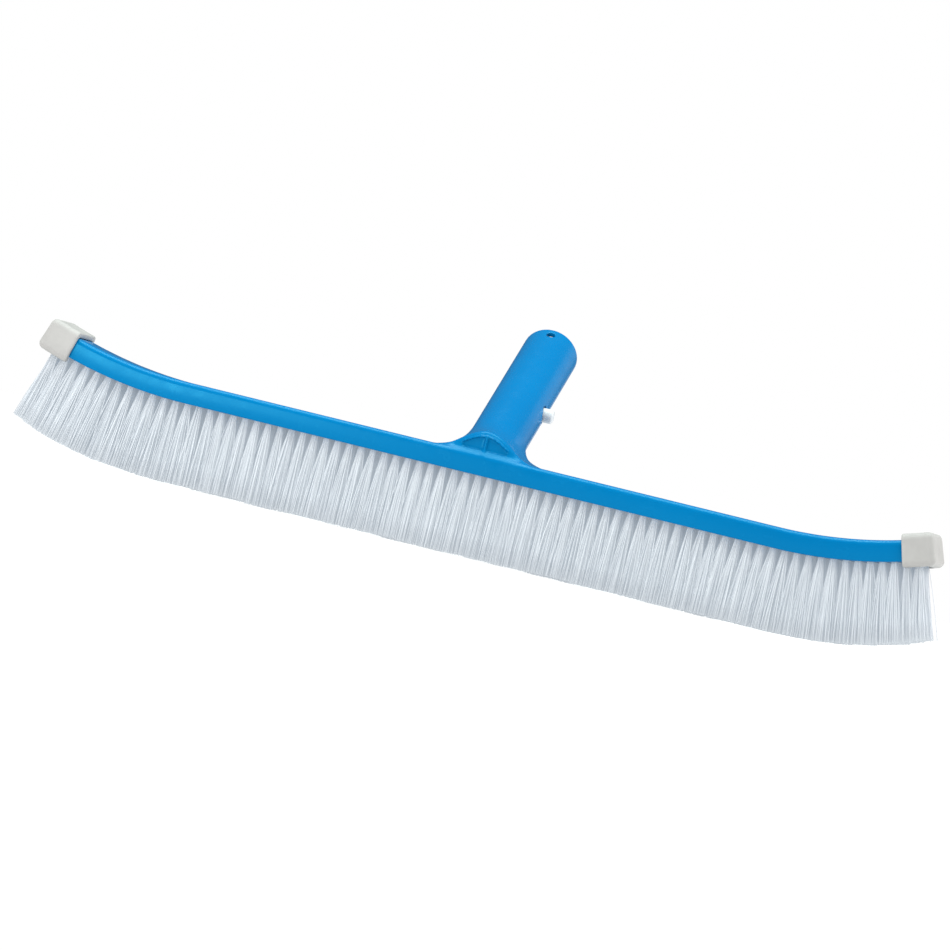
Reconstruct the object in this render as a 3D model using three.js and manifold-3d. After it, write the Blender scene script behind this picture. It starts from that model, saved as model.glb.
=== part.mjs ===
// Pool wall brush, 18 inch (457 mm) size, with a curved back and a socket handle.
// Millimetres. +X runs along the brush, +Z up and away from the wall being brushed, and the
// handle leans towards +Y. The origin is the centre of the plane that the bristle tips touch.

import * as THREE from 'three';
import { mergeVertices } from 'three/addons/utils/BufferGeometryUtils.js';
import Module from 'manifold-3d';

// ---- driving dimensions ----
const GAP = 0.3;                      // clearance between neighbouring solids

const BRUSH_LENGTH = 457;             // along the curved back, over both end caps
const STRAIGHT_HALF = 149;            // the back is straight this far either side of the centre
const BEND_RADIUS = 234;              // underside of the back where its ends curve upwards
const BACK_WIDTH = 32;
const BACK_THICKNESS = 10.5;
const TOP_ROUND = 2.8;                // rounding of the two long top edges
const BOTTOM_CHAMFER = 0.6;
const BEND_STEPS = 44;                // segments along the whole back

const BRISTLE_LENGTH = 40.5;          // free length below the back
const TUFT_PITCH = 5.94;              // both along the brush and between rows
const ROW_COUNT = 5;
const TUFT_COLUMNS = 75;
const TUFT_ROOT = 4;                  // width of a tuft where it leaves the back
const ROW_TIP_WIDTH = 5.6;            // width of a row at its tips
const NOTCH_DEPTH = 20;               // neighbouring tufts run together below this depth

const CAP_LENGTH = 16.5;
const CAP_END_WALL = 2.2;
const CAP_WALL = 2.6;
const CAP_CORNER = 3;
const CAP_BEVEL = 1.8;
const CAP_STEPS = 4;
const CAP_SLOT_HALF = 14.5;           // half width of the slot that the tufts leave through
const CAP_SLOT_END = 223.5;            // how far out that slot reaches along the back

const HANDLE_TILT = THREE.MathUtils.degToRad(60);   // lean of the socket from straight up
const HANDLE_Y = 3;                   // where the socket axis meets the top of the back
const HANDLE_LENGTH = 113.5;          // from there to the open end
const SOCKET_RADIUS = 14;             // 28 mm outside, a sliding fit in a 29 mm pole
const BORE_RADIUS = 11.5;
const BORE_FLOOR = 14;                // the bore ends here, measured along the socket axis
const SOCKET_SIDES = 40;
const BUTTON_STATION = 52;            // the button's hole, along the socket axis
const BUTTON_HOLE_RADIUS = 4.6;
const TIP_HOLE_RADIUS = 2.2;
const TIP_HOLE_STATION = HANDLE_LENGTH - 5.5;
const HOLE_SIDES = 20;

const FOOT_HALF_DEPTH = 13;           // the flared foot sits between the rounded top edges
const FOOT_HALF_LENGTH = 27;
const FOOT_HEIGHT = 10.5;
const FOOT_SPREAD = 15;               // width of the bell-shaped flare
const FOOT_STEPS = 18;
const POCKET_DEPTH = 2.4;             // triangular hollows in the foot's front face
const POCKET_RIM = 2.2;
const POCKET_RIB = 1.7;               // half thickness of the rib between the two hollows
const POCKET_REACH = 11;
const POCKET_FLOOR = 1.4;             // the hollows start this far above the back

const LEG_WIDTH = 9;
const LEG_THICKNESS = 2;
const LEG_OUTER = 10;                 // outer face of a clip leg, from the socket axis
const LEG_HINGE = 21;                 // station where the button's leg starts to bend
const LEG_END = 60;
const BOW_DEPTH = 4.9;
const BUTTON_RADIUS = 3.6;
const BUTTON_STANDS_OUT = 4.5;        // beyond the outside of the socket
const BUTTON_DOME = 1.6;
const DOME_STEPS = 4;
const BUTTON_SINK = 0.6;              // how far the button's base runs into its leg

// ---- places worked out from them ----
const HALF_LENGTH = BRUSH_LENGTH / 2;
const BACK_HALF_LENGTH = HALF_LENGTH - CAP_END_WALL - GAP;
const HALF_WIDTH = BACK_WIDTH / 2;
const BACK_TOP = BRISTLE_LENGTH + BACK_THICKNESS;
const BEYOND = 60;                    // cutters run this far past what they cut
const SAME_POINT = 1e-4;              // corners closer than this are one corner
const ROUND_STEPS = 4;                // segments in each rounded corner of a section
const ARC_STEPS = 6;                  // segments in the arcs of the clip
const LEG_MIDDLE = LEG_OUTER - LEG_THICKNESS / 2;

// ---- materials ----
const plastic = (color, roughness) => new THREE.MeshStandardMaterial({ color, roughness, metalness: 0 });
const bluePlastic = () => plastic(0x0294d7, 0.3);
const ivoryPlastic = () => plastic(0xd6d6d2, 0.55);
const whitePlastic = () => plastic(0xeef0f0, 0.4);
const bristleNylon = () => plastic(0xd3dee4, 0.6);

// ---- booleans ----
const manifold = await Module();
manifold.setup();

function toSolid(geometry) {
  const bare = geometry.clone();
  bare.deleteAttribute('normal');
  bare.deleteAttribute('uv');
  const merged = mergeVertices(bare, SAME_POINT);
  return new manifold.Manifold(new manifold.Mesh({
    numProp: 3,
    vertProperties: new Float32Array(merged.attributes.position.array),
    triVerts: new Uint32Array(merged.index.array),
  }));
}

function toGeometry(solid) {
  const mesh = solid.getMesh();
  const geometry = new THREE.BufferGeometry();
  geometry.setAttribute('position', new THREE.BufferAttribute(new Float32Array(mesh.vertProperties), 3));
  geometry.setIndex(new THREE.BufferAttribute(new Uint32Array(mesh.triVerts), 1));
  return geometry;
}

// ---- the curve of the back ----
// A straight model has x along the back, y across it and z above its underside.
function bendPoint(point) {
  const along = Math.abs(point.x);
  const side = Math.sign(point.x);
  if (along > STRAIGHT_HALF) {
    const angle = (along - STRAIGHT_HALF) / BEND_RADIUS;
    const radius = BEND_RADIUS - point.z;
    point.x = side * (STRAIGHT_HALF + radius * Math.sin(angle));
    point.z = BEND_RADIUS - radius * Math.cos(angle);
  }
  point.z += BRISTLE_LENGTH;
  return point;
}

function movePoints(geometry, move) {
  const position = geometry.attributes.position;
  const point = new THREE.Vector3();
  for (let i = 0; i < position.count; i += 1) {
    move(point.fromBufferAttribute(position, i));
    position.setXYZ(i, point.x, point.y, point.z);
  }
  return geometry;
}

const bend = (geometry) => movePoints(geometry, bendPoint);

// ---- outlines ----
// A section across the back, in (y, z), with its top edges rounded.
function backSection(grow) {
  const half = HALF_WIDTH + grow;
  const top = BACK_THICKNESS + grow;
  const shape = new THREE.Shape();
  shape.moveTo(-half + BOTTOM_CHAMFER, -grow);
  shape.lineTo(half - BOTTOM_CHAMFER, -grow);
  shape.lineTo(half, BOTTOM_CHAMFER - grow);
  shape.absarc(half - TOP_ROUND, top - TOP_ROUND, TOP_ROUND, 0, Math.PI / 2);
  shape.absarc(-half + TOP_ROUND, top - TOP_ROUND, TOP_ROUND, Math.PI / 2, Math.PI);
  shape.lineTo(-half, BOTTOM_CHAMFER - grow);
  shape.closePath();
  return shape;
}

function roundedRectangle(halfWidth, low, high, radius) {
  const shape = new THREE.Shape();
  shape.absarc(halfWidth - radius, low + radius, radius, -Math.PI / 2, 0);
  shape.absarc(halfWidth - radius, high - radius, radius, 0, Math.PI / 2);
  shape.absarc(-halfWidth + radius, high - radius, radius, Math.PI / 2, Math.PI);
  shape.absarc(-halfWidth + radius, low + radius, radius, Math.PI, Math.PI * 1.5);
  shape.closePath();
  return shape;
}

// Extrudes a (y, z) section along x, between two stations.
function extrudeAlong(shape, from, to, options) {
  const depth = to - from;
  const geometry = new THREE.ExtrudeGeometry(
    shape, { bevelEnabled: false, curveSegments: ROUND_STEPS, ...options, depth });
  const axes = new THREE.Matrix4().makeBasis(
    new THREE.Vector3(0, 1, 0), new THREE.Vector3(0, 0, 1), new THREE.Vector3(1, 0, 0));
  return geometry.applyMatrix4(axes).translate(from, 0, 0);
}

// Extrudes an (x, z) outline along y, to both sides of the middle plane.
function extrudeAcross(shape, halfDepth) {
  const depth = 2 * halfDepth;
  const geometry = new THREE.ExtrudeGeometry(
    shape, { bevelEnabled: false, curveSegments: ARC_STEPS, depth });
  return geometry.rotateX(Math.PI / 2).translate(0, halfDepth, 0);
}

function boxBetween(low, high) {
  const size = new THREE.Vector3().subVectors(high, low);
  return new THREE.BoxGeometry(size.x, size.y, size.z)
    .translate(low.x + size.x / 2, low.y + size.y / 2, low.z + size.z / 2);
}

// ---- brush back ----
function brushBack() {
  return bend(extrudeAlong(backSection(0), -BACK_HALF_LENGTH, BACK_HALF_LENGTH, { steps: BEND_STEPS }));
}

// ---- end caps: soft bumpers that sleeve over the two ends ----
function endCap(side) {
  const inner = HALF_LENGTH - CAP_LENGTH;
  const outline = roundedRectangle(
    HALF_WIDTH + GAP + CAP_WALL - CAP_BEVEL, -GAP - CAP_WALL + CAP_BEVEL,
    BACK_THICKNESS + GAP + CAP_WALL - CAP_BEVEL, CAP_CORNER - CAP_BEVEL);
  const bevel = { bevelEnabled: true, bevelThickness: CAP_BEVEL, bevelSize: CAP_BEVEL, bevelSegments: 2 };
  const body = extrudeAlong(
    outline, inner - CAP_BEVEL, HALF_LENGTH - CAP_BEVEL, { ...bevel, steps: CAP_STEPS });
  const cavity = extrudeAlong(backSection(GAP), inner - BEYOND, HALF_LENGTH - CAP_END_WALL, {});
  const slot = boxBetween(
    new THREE.Vector3(inner - BEYOND, -CAP_SLOT_HALF, -BEYOND),
    new THREE.Vector3(CAP_SLOT_END, CAP_SLOT_HALF, BACK_THICKNESS / 2));
  const trim = boxBetween(
    new THREE.Vector3(inner - BEYOND, -BEYOND, -BEYOND),
    new THREE.Vector3(inner, BEYOND, BEYOND));
  const cut = toSolid(body).subtract(toSolid(trim)).subtract(toSolid(cavity)).subtract(toSolid(slot));
  const rightCap = toGeometry(cut);
  return bend(side > 0 ? rightCap : rightCap.rotateZ(Math.PI));
}

// ---- bristles ----
const tuftStation = (column) => (column - (TUFT_COLUMNS - 1) / 2) * TUFT_PITCH;

// One row of tufts, outlined in (x, z): separate at the roots, one brushing edge at the tips.
function bristleRow(firstColumn, lastColumn) {
  const left = tuftStation(firstColumn) - ROW_TIP_WIDTH / 2;
  const right = tuftStation(lastColumn) + ROW_TIP_WIDTH / 2;
  const outline = new THREE.Shape();
  outline.moveTo(left, -BRISTLE_LENGTH);
  for (let column = firstColumn; column < lastColumn; column += 1) {
    outline.lineTo(tuftStation(column) + TUFT_PITCH / 2, -BRISTLE_LENGTH);
  }
  outline.lineTo(right, -BRISTLE_LENGTH);
  for (let column = lastColumn; column >= firstColumn; column -= 1) {
    outline.lineTo(tuftStation(column) + TUFT_ROOT / 2, -GAP);
    outline.lineTo(tuftStation(column) - TUFT_ROOT / 2, -GAP);
    if (column > firstColumn) outline.lineTo(tuftStation(column) - TUFT_PITCH / 2, -NOTCH_DEPTH);
  }
  outline.closePath();
  const halfMillimetre = 0.5;
  return movePoints(extrudeAcross(outline, halfMillimetre), (point) => {
    point.y *= THREE.MathUtils.mapLinear(point.z, 0, -BRISTLE_LENGTH, TUFT_ROOT, ROW_TIP_WIDTH);
  });
}

function bristleRows() {
  const lastStraight = Math.floor((STRAIGHT_HALF - TUFT_ROOT / 2) / TUFT_PITCH);
  const middle = (TUFT_COLUMNS - 1) / 2;
  const stretches = {
    left: [0, middle - lastStraight - 1],
    middle: [middle - lastStraight, middle + lastStraight],
    right: [middle + lastStraight + 1, TUFT_COLUMNS - 1],
  };
  const rows = [];
  for (let row = 0; row < ROW_COUNT; row += 1) {
    const y = (row - (ROW_COUNT - 1) / 2) * TUFT_PITCH;
    for (const [place, [first, last]] of Object.entries(stretches)) {
      const mesh = new THREE.Mesh(bend(bristleRow(first, last)), bristleNylon());
      mesh.name = `bristle_row_${row + 1}_${place}`;
      mesh.position.y = y;
      rows.push(mesh);
    }
  }
  return rows;
}

// ---- handle socket ----
// In the handle's own frame z runs along the socket axis and x along the brush.
const handleFrame = new THREE.Matrix4().compose(
  new THREE.Vector3(0, HANDLE_Y, BACK_TOP),
  new THREE.Quaternion().setFromAxisAngle(new THREE.Vector3(1, 0, 0), -HANDLE_TILT),
  new THREE.Vector3(1, 1, 1));

function rod(radius, from, to, sides) {
  return new THREE.CylinderGeometry(radius, radius, to - from, sides)
    .rotateX(Math.PI / 2).translate(0, 0, (from + to) / 2);
}

const footRise = (x) => FOOT_HEIGHT * Math.exp(-((x / FOOT_SPREAD) ** 2));

// The flared foot is a bell-shaped outline in (x, z), standing on the back.
function footBell() {
  const outline = new THREE.Shape();
  outline.moveTo(-FOOT_HALF_LENGTH, GAP);
  outline.lineTo(FOOT_HALF_LENGTH, GAP);
  for (let i = 0; i <= FOOT_STEPS; i += 1) {
    const x = FOOT_HALF_LENGTH * (1 - 2 * i / FOOT_STEPS);
    outline.lineTo(x, GAP + footRise(x));
  }
  outline.closePath();
  return extrudeAcross(outline, FOOT_HALF_DEPTH).translate(0, 0, BACK_TOP);
}

function footPocket(side) {
  const outline = new THREE.Shape();
  outline.setFromPoints([
    new THREE.Vector2(side * POCKET_REACH, POCKET_FLOOR),
    new THREE.Vector2(side * POCKET_REACH, footRise(POCKET_REACH) - POCKET_RIM),
    new THREE.Vector2(side * POCKET_RIB, footRise(POCKET_RIB) - POCKET_RIM),
    new THREE.Vector2(side * POCKET_RIB, POCKET_FLOOR),
  ]);
  return extrudeAcross(outline, POCKET_DEPTH).translate(0, -FOOT_HALF_DEPTH, BACK_TOP);
}

function handleSocket() {
  const tube = rod(SOCKET_RADIUS, -BEYOND, HANDLE_LENGTH, SOCKET_SIDES).applyMatrix4(handleFrame);
  const bore = rod(BORE_RADIUS, BORE_FLOOR, HANDLE_LENGTH + BEYOND, SOCKET_SIDES).applyMatrix4(handleFrame);
  const buttonHole = rod(BUTTON_HOLE_RADIUS, 0, BEYOND, HOLE_SIDES)
    .rotateY(Math.PI / 2).translate(0, 0, BUTTON_STATION).applyMatrix4(handleFrame);
  const tipHole = rod(TIP_HOLE_RADIUS, 0, BEYOND, HOLE_SIDES)
    .rotateX(Math.PI / 2).translate(0, 0, TIP_HOLE_STATION).applyMatrix4(handleFrame);
  const overBack = boxBetween(
    new THREE.Vector3(-BEYOND, -2 * BEYOND, -BEYOND),
    new THREE.Vector3(BEYOND, HALF_WIDTH + GAP, BACK_TOP + GAP));
  const inFront = boxBetween(
    new THREE.Vector3(-BEYOND, -2 * BEYOND, -BEYOND),
    new THREE.Vector3(BEYOND, -FOOT_HALF_DEPTH, BACK_TOP + BEYOND));
  const outside = toSolid(tube).add(toSolid(footBell()));
  const cutters = [overBack, inFront, footPocket(-1), footPocket(1), bore, buttonHole, tipHole];
  return toGeometry(cutters.reduce((solid, cutter) => solid.subtract(toSolid(cutter)), outside));
}

// ---- spring clip inside the socket ----
// The clip's fixed part is its closed end, a half-ellipse band lying deep in the bore, and the
// plain leg on the left, which bears on the wall of the bore.
function clipStrip() {
  const start = LEG_HINGE - LEG_THICKNESS / 2 - GAP;
  const inner = LEG_OUTER - LEG_THICKNESS;
  const outline = new THREE.Shape();
  outline.moveTo(-inner, LEG_END);
  outline.lineTo(-LEG_OUTER, LEG_END);
  outline.absellipse(0, start, LEG_OUTER, BOW_DEPTH, Math.PI, 2 * Math.PI);
  outline.absellipse(0, start, inner, BOW_DEPTH - LEG_THICKNESS, 2 * Math.PI, Math.PI, true);
  outline.closePath();
  return extrudeAcross(outline, LEG_WIDTH / 2);
}

// The right leg starts in a half-round end about its hinge line and carries the domed button.
function buttonLeg() {
  const radius = LEG_THICKNESS / 2;
  const outline = new THREE.Shape();
  outline.absarc(LEG_MIDDLE, LEG_HINGE, radius, Math.PI, 2 * Math.PI);
  outline.lineTo(LEG_OUTER, LEG_END - radius);
  outline.lineTo(LEG_OUTER - radius, LEG_END);
  outline.lineTo(LEG_OUTER - LEG_THICKNESS, LEG_END);
  outline.closePath();
  const bar = extrudeAcross(outline, LEG_WIDTH / 2);
  const button = buttonProfile().rotateZ(-Math.PI / 2).translate(LEG_OUTER, 0, BUTTON_STATION);
  return toGeometry(toSolid(bar).add(toSolid(button)));
}

// The button stands along +y here: a short round post with a quarter-ellipse edge to its dome.
function buttonProfile() {
  const height = SOCKET_RADIUS + BUTTON_STANDS_OUT - LEG_OUTER;
  const points = [new THREE.Vector2(0, -BUTTON_SINK), new THREE.Vector2(BUTTON_RADIUS, -BUTTON_SINK)];
  for (let i = 0; i <= DOME_STEPS; i += 1) {
    const angle = (i / DOME_STEPS) * Math.PI / 2;
    const radius = BUTTON_RADIUS - BUTTON_DOME + BUTTON_DOME * Math.cos(angle);
    points.push(new THREE.Vector2(radius, height - BUTTON_DOME + BUTTON_DOME * Math.sin(angle)));
  }
  points.push(new THREE.Vector2(0, height));
  return new THREE.LatheGeometry(points, HOLE_SIDES);
}

// ---- assembly ----
function named(name, geometry, material) {
  const mesh = new THREE.Mesh(geometry, material);
  mesh.name = name;
  return mesh;
}

const brush = new THREE.Group();
brush.add(named('brush_back', brushBack(), bluePlastic()));
brush.add(named('end_cap_left', endCap(-1), ivoryPlastic()));
brush.add(named('end_cap_right', endCap(1), ivoryPlastic()));
brush.add(...bristleRows());
brush.add(named('handle_socket', handleSocket(), bluePlastic()));

const clip = new THREE.Group();
clip.applyMatrix4(handleFrame);
clip.add(named('clip_strip', clipStrip(), whitePlastic()));
clip.add(named('clip_button_leg', buttonLeg(), whitePlastic()));
brush.add(clip);

export default brush;
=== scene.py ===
"""Looks for the 18 inch pool wall brush: curved blue back with its pole socket, bumpers, clip and bristles.

Metres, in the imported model's frame: +X along the brush, +Z up from the bristle tips, +Y the way the
socket leans. Most shapes are solids described by a distance field (negative inside) and meshed by
surface_piece(); the bristles are separate filaments.
"""

import math

import bpy
import numpy as np
from mathutils import Matrix, Vector


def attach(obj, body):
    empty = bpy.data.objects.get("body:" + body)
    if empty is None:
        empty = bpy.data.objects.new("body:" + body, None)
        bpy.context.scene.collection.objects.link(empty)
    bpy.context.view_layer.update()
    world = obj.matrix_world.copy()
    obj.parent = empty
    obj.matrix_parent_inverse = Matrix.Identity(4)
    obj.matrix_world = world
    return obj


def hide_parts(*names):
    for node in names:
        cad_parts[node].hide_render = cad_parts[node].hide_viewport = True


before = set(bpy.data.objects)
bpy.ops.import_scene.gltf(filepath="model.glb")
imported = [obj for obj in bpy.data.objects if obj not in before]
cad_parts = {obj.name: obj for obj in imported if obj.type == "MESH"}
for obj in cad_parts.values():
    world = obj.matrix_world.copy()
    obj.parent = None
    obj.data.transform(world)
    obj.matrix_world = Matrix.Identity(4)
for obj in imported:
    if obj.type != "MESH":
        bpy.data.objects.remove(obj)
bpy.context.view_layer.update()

MM = 0.001

# ---- the brush's own dimensions ----
BRUSH_HALF = 228.5 * MM              # along the curved back, over the end caps
STRAIGHT_HALF = 149 * MM
BEND_RADIUS = 234 * MM               # underside of the back
BACK_HALF_LENGTH = 226 * MM
HALF_WIDTH = 16 * MM
BACK_THICKNESS = 10.5 * MM
TOP_ROUND = 2.8 * MM
BOTTOM_ROUND = 0.7 * MM
BRISTLE_LENGTH = 40.5 * MM
BACK_TOP = BRISTLE_LENGTH + BACK_THICKNESS

HANDLE_TILT = math.radians(60)
HANDLE_Y = 3 * MM
HANDLE_LENGTH = 113.5 * MM
SOCKET_RADIUS = 14 * MM
BORE_RADIUS = 11.5 * MM
BORE_FLOOR = 14 * MM
BUTTON_STATION = 52 * MM
BUTTON_HOLE = 4.4 * MM
BUTTON_HOLE_SHIFT = 0.2 * MM         # towards the mouth, where the pressed button swings
TIP_HOLE = 2.2 * MM
TIP_HOLE_STATION = HANDLE_LENGTH - 5.5 * MM

SOCKET_START = -22 * MM              # down its axis; the foot's front face cuts the tube off
MOUTH_CHAMFER = 0.5 * MM
CHAMFER_SLOPE = 0.7                  # keeps the chamfer's field near a true distance
RIM_ROUND = 0.7 * MM
BORE_ROUND = 0.8 * MM
BORE_EDGE = 0.4 * MM
HOLE_EDGE = 0.3 * MM

FOOT_HALF_DEPTH = 13 * MM
FOOT_HEIGHT = 10.5 * MM
FOOT_SPREAD = 15 * MM
FOOT_REACH = 27 * MM
FOOT_SINK = 5 * MM                   # how far the foot's two ends dive under the back's surface
FOOT_SINK_POWER = 6                  # and how late the dive begins
FOOT_EDGE = 2.5 * MM
FRONT_EDGE = 3 * MM
FOOT_BLEND = 7 * MM                  # where the tube flows into the foot
FILLET = 3.5 * MM                    # where the foot meets the back
FILLET_INSET = 0.05 * MM             # the fillet ends this far under the back's surface
ROOT_DEPTH = 1.6 * MM                # the foot goes this far into the back
ROOT_REACH = 4 * MM                  # and stops this far below the back's top

POCKET_REACH = 11 * MM
POCKET_DEPTH = 0.7 * MM
POCKET_RIM = 2.2 * MM
POCKET_FLOOR = 1.5 * MM              # above the back
POCKET_RIB = 1 * MM                  # half the width of the rib between the hollows
POCKET_CORNER = 2 * MM
POCKET_SIDE_CORNER = 1.2 * MM
POCKET_FLOOR_EDGE = 0.6 * MM
POCKET_EDGE = 0.8 * MM
BEAD_RADIUS = 0.5 * MM
BEAD_INSET = 1.7 * MM                # from the foot's outline to the bead along it
BEAD_FILLET = 0.6 * MM
RIB_MIDDLE = 4.5 * MM                # above the back
RIB_HALF_HEIGHT = 3 * MM

LEG_OUTER = 10 * MM
LEG_THICKNESS = 2 * MM
LEG_HALF_WIDTH = 4.5 * MM
LEG_HINGE = 21 * MM
LEG_END = 60 * MM
BOW_DEPTH = 4.9 * MM
BUTTON_RADIUS = 3.6 * MM
BUTTON_TOP = SOCKET_RADIUS + 4.5 * MM
BUTTON_ROOT = LEG_OUTER - 1.5 * MM   # inside the leg
BUTTON_ROUND = 1.5 * MM
BUTTON_FILLET = 0.8 * MM
LEG_ROUND = 0.6 * MM
STRIP_ROUND = 0.8 * MM
HINGE_GAP = 0.3 * MM

CAP_INNER = BRUSH_HALF - 16.5 * MM
CAP_END_WALL = 2.2 * MM
CAP_WALL = 2.9 * MM
CAP_ROUND = 3 * MM
CAP_LIP = 1.2 * MM                   # rounding of the end that the back goes in at
CAP_GAP = 0.3 * MM
CAP_INSIDE_EDGE = 0.4 * MM
CAP_SLOT_HALF = 14.5 * MM
CAP_SLOT_END = 223.5 * MM

TUFT_PITCH = 5.94 * MM
TUFT_COLUMNS = 75
TUFT_ROWS = 5
TUFT_CLEARANCE = 2 * MM              # the middle stretch's tufts stand clear of the bend by this
TUFT_ROOT_RADIUS = 1.35 * MM
TUFT_TIP_SPREAD = 3.7 * MM
TIP_SCATTER = 0.8 * MM
TUFT_DRIFT = 0.4 * MM                # a whole tuft's tips wander by this
FAN_POWER = 1.6                      # the filaments spread soonest near their root
FILAMENT_BOW = 0.2 * MM
END_LEAN = 2.4 * MM                  # the last tufts' tips are pushed inwards by this
END_TRIM = 1.8 * MM                  # and cut shorter by this
END_REACH = 9 * MM                   # both fade over this distance from the last tuft
FILAMENTS = 80
FILAMENT_RADIUS = 0.2 * MM
FILAMENT_SIDES = 3
FILAMENT_STEPS = 4
WAVE_DEPTH = 0.45 * MM               # slow waves in the line of the tips
WAVE_LENGTHS = (9 * MM, 23 * MM)
WAVE_ROW_TURN = 2.1
RAGGED = 0.3 * MM
SEED = 18

# ---- fineness of the meshed solids ----
MARGIN = 1 * MM                      # air left round a solid
CLIP_SIDE_MARGIN = 1.5 * MM
CAP_SIDE_MARGIN = 4 * MM             # from the back's faces, with the bumper's wall in it
FRONT_ROOM = 34 * MM                 # in front of the socket's axis, more than the foot needs
SOCKET_CELL = 0.6 * MM
CAP_CELL = 0.5 * MM
LEG_CELL = 0.3 * MM
STRIP_CELL = 0.35 * MM
SETTLE_ROUNDS = 4
SETTLE_PROBE = 0.05                  # of a cell, for measuring a field's slope
LEAST_SLOPE = 0.25
TINY = 1e-12                         # keeps a division safe
STRAIGHT_STEP = 6 * MM               # between the back's rings
CURVE_STEP = 2.5 * MM
TOP_ARC_STEPS = 8
BOTTOM_ARC_STEPS = 3
SOLID_CREASE = math.radians(50)
BACK_CREASE = math.radians(40)

# ---- colours, linear ----
BLUE = (0.0, 0.141, 0.354)
BLUE_DEEP = (0.0, 0.134, 0.342)
BLUE_PALE = (0.0, 0.148, 0.366)
BLUE_GLOSS = (0.14, 0.85, 1.0)
IVORY = (0.374, 0.378, 0.367)
IVORY_DEEP = (0.366, 0.356, 0.347)
IVORY_PALE = (0.404, 0.393, 0.382)
WHITE = (0.6, 0.62, 0.64)
WHITE_DEEP = (0.57, 0.59, 0.61)
WHITE_PALE = (0.63, 0.65, 0.67)
NYLON = (0.49, 0.52, 0.55)
NYLON_DEEP = (0.485, 0.50, 0.53)
NYLON_PALE = (0.525, 0.54, 0.565)
NYLON_PAINTED_GLOW_COLOUR = (0.82, 0.92, 1.0)
FILAMENT_PAINTED_GLOW = 0.25                          # painted glow: emission standing in for light that soaks through the translucent filaments, lifting their shade
PAPER = (0.35, 0.35, 0.35)
PAPER_DEEP = (0.34, 0.34, 0.34)
PAPER_PALE = (0.36, 0.36, 0.36)
PAPER_GLOW = 0.68                    # brings the floor up to plain white
LIT_WHITE = (1.0, 1.0, 1.0)
TOP_LIGHT = (0.86, 1.0, 0.96)

# ---- camera and stage ----
CAMERA_AZIMUTH = math.radians(10.3)
CAMERA_ROLL = math.radians(13.8)
CAMERA_DISTANCE = 3.901
CAMERA_TARGET = Vector((-0.0040, 0, BRISTLE_LENGTH - 0.1 * MM))
CAMERA_LENS = 304
FLOOR_HALF = 6.0
WORLD_IN_GLOSS = 0.1


# ---- distance fields ----
def smooth_min(a, b, blend):
    overlap = np.maximum(blend - np.abs(a - b), 0) / blend
    return np.minimum(a, b) - overlap * overlap * blend / 4


def smooth_max(a, b, blend):
    return -smooth_min(-a, -b, blend)


def rounded_box(offsets, half_sizes, radius):
    """Distance to a box of any number of dimensions, from |offset| along each, with rounded edges."""
    beyond = [np.abs(o) - (h - radius) for o, h in zip(offsets, half_sizes)]
    outside = np.sqrt(sum(np.maximum(b, 0) ** 2 for b in beyond))
    inside = np.minimum(np.maximum.reduce(beyond), 0)
    return outside + inside - radius


def rod(radial, along, radius, low, high, edge):
    middle = (low + high) / 2
    return rounded_box((radial, along - middle), (radius, (high - low) / 2), edge)


def surface_piece(name, field, low, high, cell, place):
    """A quad mesh of field's zero surface, made by surface nets and settled onto it, moved by place()."""
    low = np.array(low, float)
    counts = np.ceil((np.array(high) - low) / cell).astype(int) + 1
    axes = [low[a] + cell * np.arange(counts[a]) for a in range(3)]
    values = field(*np.meshgrid(*axes, indexing="ij"))
    inside = values < 0
    cells = tuple(counts - 1)
    total = np.zeros((*cells, 3))
    hits = np.zeros(cells)
    quads = []
    for axis in range(3):
        near, far = edge_ends(inside, values, axis)
        where = np.argwhere(near[0] != far[0])
        across = [(axis + 1) % 3, (axis + 2) % 3]
        for other in across:
            where = where[(where[:, other] > 0) & (where[:, other] < cells[other])]
        start = near[1][tuple(where.T)]
        stop = far[1][tuple(where.T)]
        point = where.astype(float)
        point[:, axis] += start / (start - stop)
        corners = []
        for first, second in ((0, 0), (1, 0), (1, 1), (0, 1)):
            corner = where.copy()
            corner[:, across[0]] -= first
            corner[:, across[1]] -= second
            np.add.at(total, tuple(corner.T), point)
            np.add.at(hits, tuple(corner.T), 1)
            corners.append(np.ravel_multi_index(tuple(corner.T), cells))
        quad = np.stack(corners, axis=1)
        outward = near[0][tuple(where.T)]
        quads.append(np.where(outward[:, None], quad, quad[:, ::-1]))
    used = np.flatnonzero(hits.ravel())
    number = np.full(hits.size, -1)
    number[used] = np.arange(len(used))
    points = low + cell * (total.reshape(-1, 3)[used] / hits.ravel()[used, None])
    points = settle(points, field, cell)
    piece = mesh_piece(name, place(points), number[np.concatenate(quads)])
    piece.data.set_sharp_from_angle(angle=SOLID_CREASE)
    return piece


def edge_ends(inside, values, axis):
    """(inside, value) at the two ends of every grid edge along an axis."""
    near = [slice(None)] * 3
    far = [slice(None)] * 3
    near[axis] = slice(0, -1)
    far[axis] = slice(1, None)
    return (inside[tuple(near)], values[tuple(near)]), (inside[tuple(far)], values[tuple(far)])


def settle(points, field, cell):
    """Moves points onto the field's zero surface along its slope, at most half a cell each round."""
    small = cell * SETTLE_PROBE
    for _ in range(SETTLE_ROUNDS):
        value = field(*points.T)
        slope = np.stack([
            (field(*(points + small * unit).T) - field(*(points - small * unit).T)) / (2 * small)
            for unit in np.eye(3)], axis=1)
        steepness = np.maximum((slope ** 2).sum(axis=1), LEAST_SLOPE)
        step = slope * (value / steepness)[:, None]
        length = np.linalg.norm(step, axis=1, keepdims=True)
        points = points - step * np.minimum(1, 0.5 * cell / np.maximum(length, TINY))
    return points


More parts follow.
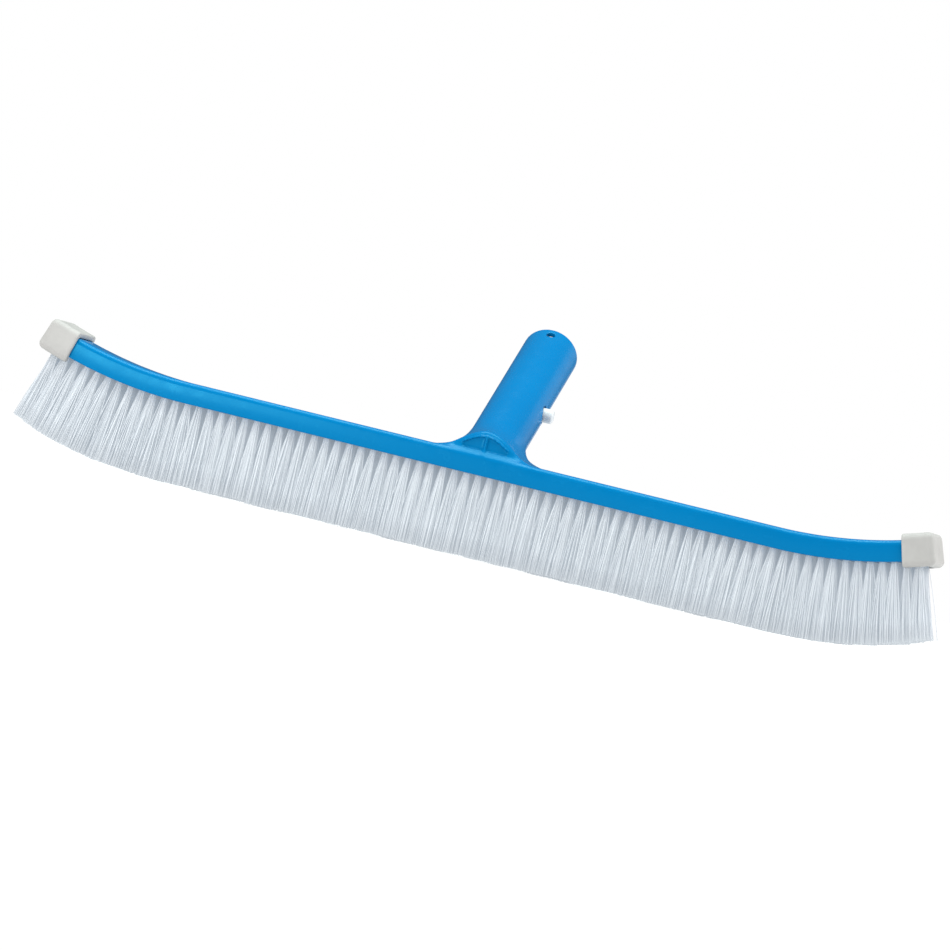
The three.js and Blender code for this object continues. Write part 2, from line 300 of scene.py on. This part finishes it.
# ---- meshes and places ----
def mesh_piece(name, points, faces):
    mesh = bpy.data.meshes.new(name)
    mesh.from_pydata(points.tolist(), [], [list(map(int, face)) for face in faces])
    mesh.validate()
    mesh.update()
    mesh.shade_smooth()
    piece = bpy.data.objects.new(name, mesh)
    bpy.context.scene.collection.objects.link(piece)
    return piece


def bend(points):
    """Takes (along, across, above the underside) of a straight brush to its place on the curved one."""
    along, across, above = points.T
    angle = np.maximum(np.abs(along) - STRAIGHT_HALF, 0) / BEND_RADIUS
    radius = BEND_RADIUS - above
    curved_x = np.sign(along) * (STRAIGHT_HALF + radius * np.sin(angle))
    x = np.where(angle > 0, curved_x, along)
    z = np.where(angle > 0, BEND_RADIUS - radius * np.cos(angle), above)
    return np.stack([x, across, z + BRISTLE_LENGTH], axis=1)


def socket_to_brush(x, y, z):
    """The socket's own frame has z along its axis from the top of the back, and x along the brush."""
    across = HANDLE_Y + z * math.sin(HANDLE_TILT) + y * math.cos(HANDLE_TILT)
    up = BACK_TOP + z * math.cos(HANDLE_TILT) - y * math.sin(HANDLE_TILT)
    return x, across, up


def place_socket(points):
    return np.stack(socket_to_brush(*points.T), axis=1)


# ---- back ----
def back_outline():
    """The back's section in (across, above), anticlockwise, with arcs at its corners."""
    corners = [
        (HALF_WIDTH, 0, BOTTOM_ROUND, -90, BOTTOM_ARC_STEPS),
        (HALF_WIDTH, BACK_THICKNESS, TOP_ROUND, 0, TOP_ARC_STEPS),
        (-HALF_WIDTH, BACK_THICKNESS, TOP_ROUND, 90, TOP_ARC_STEPS),
        (-HALF_WIDTH, 0, BOTTOM_ROUND, 180, BOTTOM_ARC_STEPS),
    ]
    outline = []
    for across, above, radius, start, steps in corners:
        centre_across = across - math.copysign(radius, across)
        centre_above = above + (radius if above == 0 else -radius)
        for step in range(steps + 1):
            angle = math.radians(start + 90 * step / steps)
            outline.append((
                centre_across + radius * math.cos(angle),
                centre_above + radius * math.sin(angle)))
    return outline


def swept_back():
    straight = np.arange(-STRAIGHT_HALF, STRAIGHT_HALF, STRAIGHT_STEP)
    curve = np.arange(STRAIGHT_HALF, BACK_HALF_LENGTH, CURVE_STEP)
    stations = np.concatenate([-curve[::-1], straight[1:], curve, [BACK_HALF_LENGTH]])
    stations[0] = -BACK_HALF_LENGTH
    outline = np.array(back_outline())
    size = len(outline)
    rings = [np.column_stack([np.full(size, station), outline]) for station in stations]
    faces = []
    for ring in range(len(stations) - 1):
        for i in range(size):
            a = ring * size + i
            b = ring * size + (i + 1) % size
            faces.append((a, b, b + size, a + size))
    faces.append(tuple(range(size))[::-1])
    last = (len(stations) - 1) * size
    faces.append(tuple(range(last, last + size)))
    piece = mesh_piece("back", bend(np.concatenate(rings)), faces)
    piece.data.set_sharp_from_angle(angle=BACK_CREASE)
    return piece


# ---- pole socket and its flared foot ----
def back_field(across, up):
    middle = BACK_TOP - BACK_THICKNESS / 2
    return rounded_box((across, up - middle), (HALF_WIDTH, BACK_THICKNESS / 2), TOP_ROUND)


def foot_rise(x):
    """How high the foot stands above the back; it sinks under the surface at its two ends."""
    sink = FOOT_SINK * (x / FOOT_REACH) ** FOOT_SINK_POWER
    return FOOT_HEIGHT * np.exp(-(x / FOOT_SPREAD) ** 2) - sink


def foot_field(x, across, up):
    slope = FOOT_HEIGHT * np.exp(-(x / FOOT_SPREAD) ** 2) * 2 * x / FOOT_SPREAD ** 2
    bell = (up - BACK_TOP - foot_rise(x)) / np.sqrt(1 + slope ** 2)
    return smooth_max(bell, np.abs(across) - FOOT_HALF_DEPTH, FOOT_EDGE)


def pocket_field(x, across, up):
    """Two shallow triangular hollows in the foot's front face, either side of a middle rib."""
    under_rim = up - BACK_TOP - foot_rise(x) + POCKET_RIM
    over_back = BACK_TOP + POCKET_FLOOR - up
    beside_rib = np.maximum(POCKET_RIB - np.abs(x), np.abs(x) - POCKET_REACH)
    depth = across + FOOT_HALF_DEPTH - POCKET_DEPTH
    upright = smooth_max(under_rim, over_back, POCKET_CORNER)
    walls = smooth_max(upright, beside_rib, POCKET_SIDE_CORNER)
    return smooth_max(walls, depth, POCKET_FLOOR_EDGE)


def bead_field(x, across, up):
    """Thin raised lines on the foot's front face: along the top of each hollow and down the rib."""
    proud = across + FOOT_HALF_DEPTH
    along_rim = up - BACK_TOP - foot_rise(x) + BEAD_INSET
    rim = np.maximum(np.hypot(along_rim, proud), np.abs(x) - POCKET_REACH)
    middle = BACK_TOP + RIB_MIDDLE
    rib = np.maximum(np.hypot(x, proud), np.abs(up - middle) - RIB_HALF_HEIGHT)
    return np.minimum(rim, rib) - BEAD_RADIUS


def standing_field(x, y, z, across, up):
    """The tube and its foot, before they meet the back."""
    tube = rod(np.hypot(x, y), z, SOCKET_RADIUS, SOCKET_START, HANDLE_LENGTH, RIM_ROUND)
    solid = smooth_min(tube, foot_field(x, across, up), FOOT_BLEND)
    solid = smooth_max(solid, -FOOT_HALF_DEPTH - across, FRONT_EDGE)
    solid = smooth_max(solid, -pocket_field(x, across, up), POCKET_EDGE)
    return smooth_min(solid, bead_field(x, across, up), BEAD_FILLET)


def joined_field(standing, across, up):
    """The same, filleted to the back's surface, with its root sunk a little into the back."""
    back = back_field(across, up)
    solid = smooth_min(standing, back + FILLET_INSET, FILLET)
    solid = np.maximum(solid, standing - FILLET)
    solid = np.maximum(solid, -back - ROOT_DEPTH)
    under_back = np.maximum(across - HALF_WIDTH, up - BACK_TOP + ROOT_REACH)
    return np.maximum(solid, -under_back)


def socket_field(x, y, z):
    _, across, up = socket_to_brush(x, y, z)
    radial = np.hypot(x, y)
    solid = joined_field(standing_field(x, y, z, across, up), across, up)
    bore = rod(radial, z, BORE_RADIUS, BORE_FLOOR, HANDLE_LENGTH + 20 * MM, BORE_ROUND)
    mouth = (radial - BORE_RADIUS - MOUTH_CHAMFER + (HANDLE_LENGTH - z)) * CHAMFER_SLOPE
    solid = smooth_max(solid, -np.minimum(bore, mouth), BORE_EDGE)
    off_centre = np.hypot(y, z - BUTTON_STATION - BUTTON_HOLE_SHIFT)
    button_hole = np.maximum(off_centre - BUTTON_HOLE, -x)
    solid = smooth_max(solid, -button_hole, HOLE_EDGE)
    tip_hole = np.maximum(np.hypot(x, z - TIP_HOLE_STATION) - TIP_HOLE, y)
    return smooth_max(solid, -tip_hole, HOLE_EDGE)


def pole_socket():
    reach = FOOT_REACH + MARGIN
    low = (-reach, -FRONT_ROOM, SOCKET_START - 4 * MARGIN)
    high = (reach, SOCKET_RADIUS + MARGIN, HANDLE_LENGTH + MARGIN)
    return surface_piece("pole_socket", socket_field, low, high, SOCKET_CELL, place_socket)


# ---- bumpers ----
def bumper_field(along, across, above):
    middle = BACK_THICKNESS / 2
    half_height = BACK_THICKNESS / 2 + CAP_WALL
    centre = (CAP_INNER + BRUSH_HALF) / 2
    half_length = (BRUSH_HALF - CAP_INNER) / 2
    grown = rounded_box(
        (along - centre + half_length, across, above - middle),
        (2 * half_length, HALF_WIDTH + CAP_WALL, half_height), CAP_ROUND)
    solid = smooth_max(grown, CAP_INNER - along, CAP_LIP)
    section = rounded_box(
        (across, above - middle),
        (HALF_WIDTH + CAP_GAP, BACK_THICKNESS / 2 + CAP_GAP), TOP_ROUND)
    cavity = np.maximum(section, along - (BRUSH_HALF - CAP_END_WALL))
    slot = np.maximum(np.maximum(np.abs(across) - CAP_SLOT_HALF, along - CAP_SLOT_END), above - middle)
    return smooth_max(solid, -np.minimum(cavity, slot), CAP_INSIDE_EDGE)


def bumper(name, mirrored):
    side = CAP_SIDE_MARGIN
    low = (CAP_INNER - MARGIN, -HALF_WIDTH - side, -side)
    high = (BRUSH_HALF + MARGIN, HALF_WIDTH + side, BACK_THICKNESS + side)
    piece = surface_piece(name, bumper_field, low, high, CAP_CELL, bend)
    if mirrored:
        turn_over(piece)
    return piece


def turn_over(piece):
    """Mirrors a piece's mesh in the plane through the handle."""
    piece.data.transform(Matrix.Scale(-1, 4, Vector((1, 0, 0))))
    piece.data.flip_normals()


# ---- spring clip ----
def leg_field(x, y, z):
    middle = LEG_OUTER - LEG_THICKNESS / 2
    low = LEG_HINGE - LEG_THICKNESS / 2
    centre = (low + LEG_END) / 2
    bar = rounded_box(
        (x - middle, y, z - centre),
        (LEG_THICKNESS / 2, LEG_HALF_WIDTH, (LEG_END - low) / 2), LEG_ROUND)
    off_axis = np.hypot(y, z - BUTTON_STATION)
    button = rod(off_axis, x, BUTTON_RADIUS, BUTTON_ROOT, BUTTON_TOP, BUTTON_ROUND)
    return smooth_min(bar, button, BUTTON_FILLET)


def strip_field(x, y, z):
    """The clip's closed end, a half-ellipse band, and its plain leg on the left."""
    start = LEG_HINGE - LEG_THICKNESS / 2 - HINGE_GAP
    wide = LEG_OUTER - LEG_THICKNESS / 2
    deep = BOW_DEPTH - LEG_THICKNESS / 2
    level = np.sqrt((x / wide) ** 2 + ((z - start) / deep) ** 2 + 1e-9)
    steep = np.sqrt((x / wide ** 2) ** 2 + ((z - start) / deep ** 2) ** 2 + 1e-9) / level
    band = np.abs((level - 1) / steep) - LEG_THICKNESS / 2
    bow = np.maximum(band, z - start)
    leg = np.maximum(np.abs(x + wide) - LEG_THICKNESS / 2, np.maximum(start - z, z - LEG_END))
    return smooth_max(np.minimum(bow, leg), np.abs(y) - LEG_HALF_WIDTH, STRIP_ROUND)


def clip_button_leg():
    half_width = LEG_HALF_WIDTH + CLIP_SIDE_MARGIN
    low = (LEG_OUTER - 2 * LEG_THICKNESS, -half_width, LEG_HINGE - LEG_THICKNESS)
    high = (BUTTON_TOP + MARGIN, half_width, LEG_END + MARGIN)
    return surface_piece("clip_button", leg_field, low, high, LEG_CELL, place_socket)


def clip_strip():
    half_width = LEG_HALF_WIDTH + CLIP_SIDE_MARGIN
    low = (-LEG_OUTER - MARGIN, -half_width, BORE_FLOOR - MARGIN)
    high = (LEG_OUTER + MARGIN, half_width, LEG_END + MARGIN)
    return surface_piece("clip_moulding", strip_field, low, high, STRIP_CELL, place_socket)


# ---- bristles ----
def tuft_station(column):
    return (column - (TUFT_COLUMNS - 1) / 2) * TUFT_PITCH


def filament_paths(rng, columns, row):
    """Centre lines of every filament in some of a row's tufts: (filament, step, 3), unbent."""
    across = (row - (TUFT_ROWS - 1) / 2) * TUFT_PITCH
    t = np.linspace(0, 1, FILAMENT_STEPS + 1)[None, :, None]
    fan = 1 - (1 - t) ** FAN_POWER
    paths = []
    for column in columns:
        station = tuft_station(column)
        near_end = math.exp((abs(station) - tuft_station(TUFT_COLUMNS - 1)) / END_REACH)
        radius = TUFT_ROOT_RADIUS * np.sqrt(rng.random(FILAMENTS))
        turn = 2 * math.pi * rng.random(FILAMENTS)
        root = np.stack([radius * np.cos(turn), radius * np.sin(turn)], axis=1)
        tip = root * (TUFT_TIP_SPREAD / TUFT_ROOT_RADIUS) + rng.normal(0, TIP_SCATTER, (FILAMENTS, 2))
        tip += rng.normal(0, TUFT_DRIFT, (1, 2))
        tip[:, 0] -= math.copysign(END_LEAN * near_end, station)
        bow = rng.normal(0, FILAMENT_BOW, (FILAMENTS, 2))
        sideways = root[:, None] + (tip - root)[:, None] * fan + bow[:, None] * np.sin(math.pi * t)
        ripple = math.sin(station / WAVE_LENGTHS[0] + WAVE_ROW_TURN * row)
        wave = WAVE_DEPTH * (1 - ripple * math.sin(station / WAVE_LENGTHS[1]))
        ragged = np.abs(rng.normal(0, RAGGED)) + np.abs(rng.normal(0, RAGGED, FILAMENTS))
        length = BRISTLE_LENGTH - wave - ragged - END_TRIM * near_end
        above = BOTTOM_ROUND - t[..., 0] * (length + BOTTOM_ROUND)[:, None]
        path = np.stack([station + sideways[..., 0], across + sideways[..., 1], above], axis=2)
        paths.append(path)
    return np.concatenate(paths)


def filament_tubes(rng, paths):
    """Closed prisms round the centre lines, as points and faces."""
    count, steps, _ = paths.shape
    side_turns = np.arange(FILAMENT_SIDES)[None, None] / FILAMENT_SIDES
    turn = 2 * math.pi * (rng.random((count, 1, 1)) + side_turns)
    ring = FILAMENT_RADIUS * np.stack([np.cos(turn), np.sin(turn), np.zeros_like(turn)], axis=3)
    points = (paths[:, :, None] + ring).reshape(-1, 3)
    faces = []
    for step in range(steps - 1):
        for side in range(FILAMENT_SIDES):
            a = step * FILAMENT_SIDES + side
            b = step * FILAMENT_SIDES + (side + 1) % FILAMENT_SIDES
            faces.append((a + FILAMENT_SIDES, b + FILAMENT_SIDES, b, a))
    sides = np.array(faces)
    root = np.arange(FILAMENT_SIDES)
    ends = np.array([root, root[::-1] + (steps - 1) * FILAMENT_SIDES])
    starts = (np.arange(count) * steps * FILAMENT_SIDES)[:, None, None]
    every_side = (sides[None] + starts).reshape(-1, 4).tolist()
    every_end = (ends[None] + starts).reshape(-1, FILAMENT_SIDES).tolist()
    return points, every_side + every_end


def bristle_pieces(material):
    last_straight = int((STRAIGHT_HALF - TUFT_CLEARANCE) / TUFT_PITCH)
    middle = (TUFT_COLUMNS - 1) // 2
    stretches = {
        "left": range(0, middle - last_straight),
        "middle": range(middle - last_straight, middle + last_straight + 1),
        "right": range(middle + last_straight + 1, TUFT_COLUMNS),
    }
    rng = np.random.default_rng(SEED)
    for row in range(TUFT_ROWS):
        for place, columns in stretches.items():
            points, faces = filament_tubes(rng, filament_paths(rng, columns, row))
            piece = mesh_piece(f"bristles_{row + 1}_{place}", bend(points), faces)
            finish_piece(piece, "brush", material, "bristle_nylon", f"bristle_row_{row + 1}_{place}")


# ---- materials ----
class Shader:
    """A Principled material and the few node chains that the finishes here share.

    Its plain colour and roughness are about the middle of what the node chains give.
    """

    def __init__(self, name, colour, roughness):
        self.material = bpy.data.materials.new(name)
        self.material.use_nodes = True
        self.tree = self.material.node_tree
        self.surface = self.tree.nodes["Principled BSDF"]
        self.surface.inputs["Base Color"].default_value = (*colour, 1)
        self.surface.inputs["Roughness"].default_value = roughness
        self.place = self.tree.nodes.new("ShaderNodeTexCoord").outputs["Object"]

    def link(self, source, target):
        self.tree.links.new(source, target)

    def noise(self, scale, detail, stretch=(1, 1, 1)):
        mapping = self.tree.nodes.new("ShaderNodeMapping")
        mapping.inputs["Scale"].default_value = stretch
        texture = self.tree.nodes.new("ShaderNodeTexNoise")
        texture.inputs["Scale"].default_value = scale
        texture.inputs["Detail"].default_value = detail
        self.link(self.place, mapping.inputs["Vector"])
        self.link(mapping.outputs["Vector"], texture.inputs["Vector"])
        return texture.outputs["Fac"]

    def spread(self, value, low, high, start=0.3, stop=0.7):
        """Maps a noise value's useful range onto low to high."""
        node = self.tree.nodes.new("ShaderNodeMapRange")
        for key, number in (("From Min", start), ("From Max", stop), ("To Min", low), ("To Max", high)):
            node.inputs[key].default_value = number
        self.link(value, node.inputs["Value"])
        return node.outputs["Result"]

    def mix(self, factor, first, second):
        node = self.tree.nodes.new("ShaderNodeMix")
        node.data_type = "RGBA"
        node.inputs[6].default_value = (*first, 1)
        node.inputs[7].default_value = (*second, 1)
        self.link(factor, node.inputs[0])
        return node.outputs[2]

    def bump(self, height, distance, strength):
        node = self.tree.nodes.new("ShaderNodeBump")
        node.inputs["Distance"].default_value = distance
        node.inputs["Strength"].default_value = strength
        self.link(height, node.inputs["Height"])
        return node.outputs["Normal"]

    def gloss(self, level):
        self.surface.inputs["Specular IOR Level"].default_value = level

    def glow(self, colour, strength):
        self.surface.inputs["Emission Color"].default_value = (*colour, 1)
        self.surface.inputs["Emission Strength"].default_value = strength

    def drive(self, **sources):
        """Links node outputs to the surface's base_color, roughness and normal."""
        for key, source in sources.items():
            self.link(source, self.surface.inputs[key.replace("_", " ").title()])


def blue_plastic():
    """Glossy moulded polypropylene: faint flow marks, uneven gloss and orange peel."""
    shade = Shader("blue_plastic", BLUE, roughness=0.25)
    shade.gloss(0.24)
    shade.surface.inputs["Specular Tint"].default_value = (*BLUE_GLOSS, 1)
    flow = shade.spread(shade.noise(scale=22, detail=4, stretch=(0.4, 1, 1)), 0, 1)
    shade.drive(
        base_color=shade.mix(flow, BLUE_DEEP, BLUE_PALE),
        roughness=shade.spread(shade.noise(scale=160, detail=5), 0.2, 0.3),
        normal=shade.bump(shade.noise(scale=700, detail=2), distance=0.03 * MM, strength=0.3))
    return shade.material


def ivory_plastic():
    """Soft vinyl bumper: satin, faintly mottled, with a fine grain."""
    shade = Shader("ivory_plastic", IVORY, roughness=0.5)
    shade.gloss(0.155)
    mottle = shade.spread(shade.noise(scale=140, detail=4), 0, 1)
    shade.drive(
        base_color=shade.mix(mottle, IVORY_DEEP, IVORY_PALE),
        roughness=shade.spread(shade.noise(scale=500, detail=4), 0.42, 0.6),
        normal=shade.bump(shade.noise(scale=1500, detail=3), distance=0.05 * MM, strength=0.4))
    return shade.material


def white_plastic():
    """Moulded nylon of the spring clip."""
    shade = Shader("white_plastic", WHITE, roughness=0.35)
    cloud = shade.spread(shade.noise(scale=200, detail=3), 0, 1)
    shade.drive(
        base_color=shade.mix(cloud, WHITE_DEEP, WHITE_PALE),
        roughness=shade.spread(shade.noise(scale=700, detail=3), 0.3, 0.45),
        normal=shade.bump(shade.noise(scale=1200, detail=2), distance=0.03 * MM, strength=0.4))
    return shade.material


def bristle_nylon():
    """Pale filament, each strand a slightly different tone, with gloss in streaks along its length, and a
    painted glow that lifts its shade.
    """
    shade = Shader("bristle_nylon", NYLON, roughness=0.45)
    shade.gloss(0.08)
    # painted glow: the filaments emit light, standing in for light scattered through the nylon
    shade.glow(NYLON_PAINTED_GLOW_COLOUR, FILAMENT_PAINTED_GLOW)
    island = shade.tree.nodes.new("ShaderNodeNewGeometry").outputs["Random Per Island"]
    strand = shade.spread(island, 0, 1, start=0, stop=1)
    shade.drive(
        base_color=shade.mix(strand, NYLON_DEEP, NYLON_PALE),
        roughness=shade.spread(shade.noise(scale=900, detail=3, stretch=(1, 1, 0.1)), 0.4, 0.6))
    return shade.material


def floor_paper():
    shade = Shader("floor_paper", PAPER, roughness=0.9)
    shade.gloss(0.0)
    shade.glow(LIT_WHITE, PAPER_GLOW)
    tone = shade.spread(shade.noise(scale=3, detail=2), 0, 1)
    shade.drive(base_color=shade.mix(tone, PAPER_DEEP, PAPER_PALE))
    return shade.material


def finish_piece(piece, body, material, slot, *nodes):
    piece.data.materials.append(material)
    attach(piece, body)
    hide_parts(*nodes)


# ---- stage ----
def floor():
    half = FLOOR_HALF
    points = np.array([(-half, -half, 0), (half, -half, 0), (half, half, 0), (-half, half, 0)])
    piece = mesh_piece("floor", points, [(0, 1, 2, 3)])
    piece.data.materials.append(floor_paper())


def white_world():
    """White all round, but dim to reflections, so that glossy colours stay deep."""
    world = bpy.data.worlds.new("studio")
    world.use_nodes = True
    tree = world.node_tree
    background = tree.nodes["Background"]
    background.inputs["Color"].default_value = (*LIT_WHITE, 1)
    strength = tree.nodes.new("ShaderNodeMapRange")
    strength.inputs["To Min"].default_value = 1.0
    strength.inputs["To Max"].default_value = WORLD_IN_GLOSS
    rays = tree.nodes.new("ShaderNodeLightPath")
    tree.links.new(rays.outputs["Is Glossy Ray"], strength.inputs["Value"])
    tree.links.new(strength.outputs["Result"], background.inputs["Strength"])
    bpy.context.scene.world = world


def softbox(name, place, aim, width, height, power, tint=LIT_WHITE, in_gloss=True):
    light = bpy.data.lights.new(name, "AREA")
    light.color = tint
    light.shape = "RECTANGLE"
    light.size = width
    light.size_y = height
    light.energy = power
    lamp = bpy.data.objects.new(name, light)
    lamp.location = place
    lamp.rotation_euler = (Vector(place) - Vector(aim)).to_track_quat("Z", "Y").to_euler()
    lamp.visible_camera = False
    lamp.visible_glossy = in_gloss
    bpy.context.scene.collection.objects.link(lamp)


def camera():
    """Looks level at the brush from the front, a little from its right, and rolled."""
    back = Vector((math.sin(CAMERA_AZIMUTH), -math.cos(CAMERA_AZIMUTH), 0))
    lens = bpy.data.cameras.new("camera")
    lens.lens = CAMERA_LENS
    lens.sensor_width = 36
    lens.clip_end = 50
    eye = bpy.data.objects.new("camera", lens)
    level = back.to_track_quat("Z", "Y").to_matrix().to_4x4()
    place = Matrix.Translation(CAMERA_TARGET + back * CAMERA_DISTANCE)
    eye.matrix_world = place @ level @ Matrix.Rotation(CAMERA_ROLL, 4, "Z")
    bpy.context.scene.collection.objects.link(eye)
    bpy.context.scene.camera = eye


def studio():
    bpy.context.scene.view_settings.view_transform = "Standard"
    white_world()
    centre = (0, 0, BACK_TOP)
    softbox(
        "left_softbox", (-0.42, -0.8, 0.06), aim=(-0.42, 0, 0.06),
        width=0.27, height=0.27, power=3.6)
    softbox(
        "right_softbox", (1.1, 0.5, 0.5), aim=centre,
        width=0.6, height=0.8, power=9, in_gloss=False)
    softbox(
        "back_right_softbox", (0.66, 1.2, 0.42), aim=centre,
        width=0.4, height=0.8, power=0.5)
    softbox(
        "top_softbox", (-0.1, -0.2, 1.6), aim=centre,
        width=1.4, height=1.0, power=31, tint=TOP_LIGHT)
    floor()
    camera()


# ---- the brush ----
studio()
blue = blue_plastic()
ivory = ivory_plastic()
white = white_plastic()
finish_piece(swept_back(), "brush", blue, "blue_plastic", "brush_back")
finish_piece(pole_socket(), "brush", blue, "blue_plastic", "handle_socket")
finish_piece(bumper("bumper_left", mirrored=True), "brush", ivory, "ivory_plastic", "end_cap_left")
finish_piece(bumper("bumper_right", mirrored=False), "brush", ivory, "ivory_plastic", "end_cap_right")
finish_piece(clip_strip(), "brush", white, "white_plastic", "clip_strip")
finish_piece(clip_button_leg(), "button", white, "white_plastic", "clip_button_leg")
bristle_pieces(bristle_nylon())
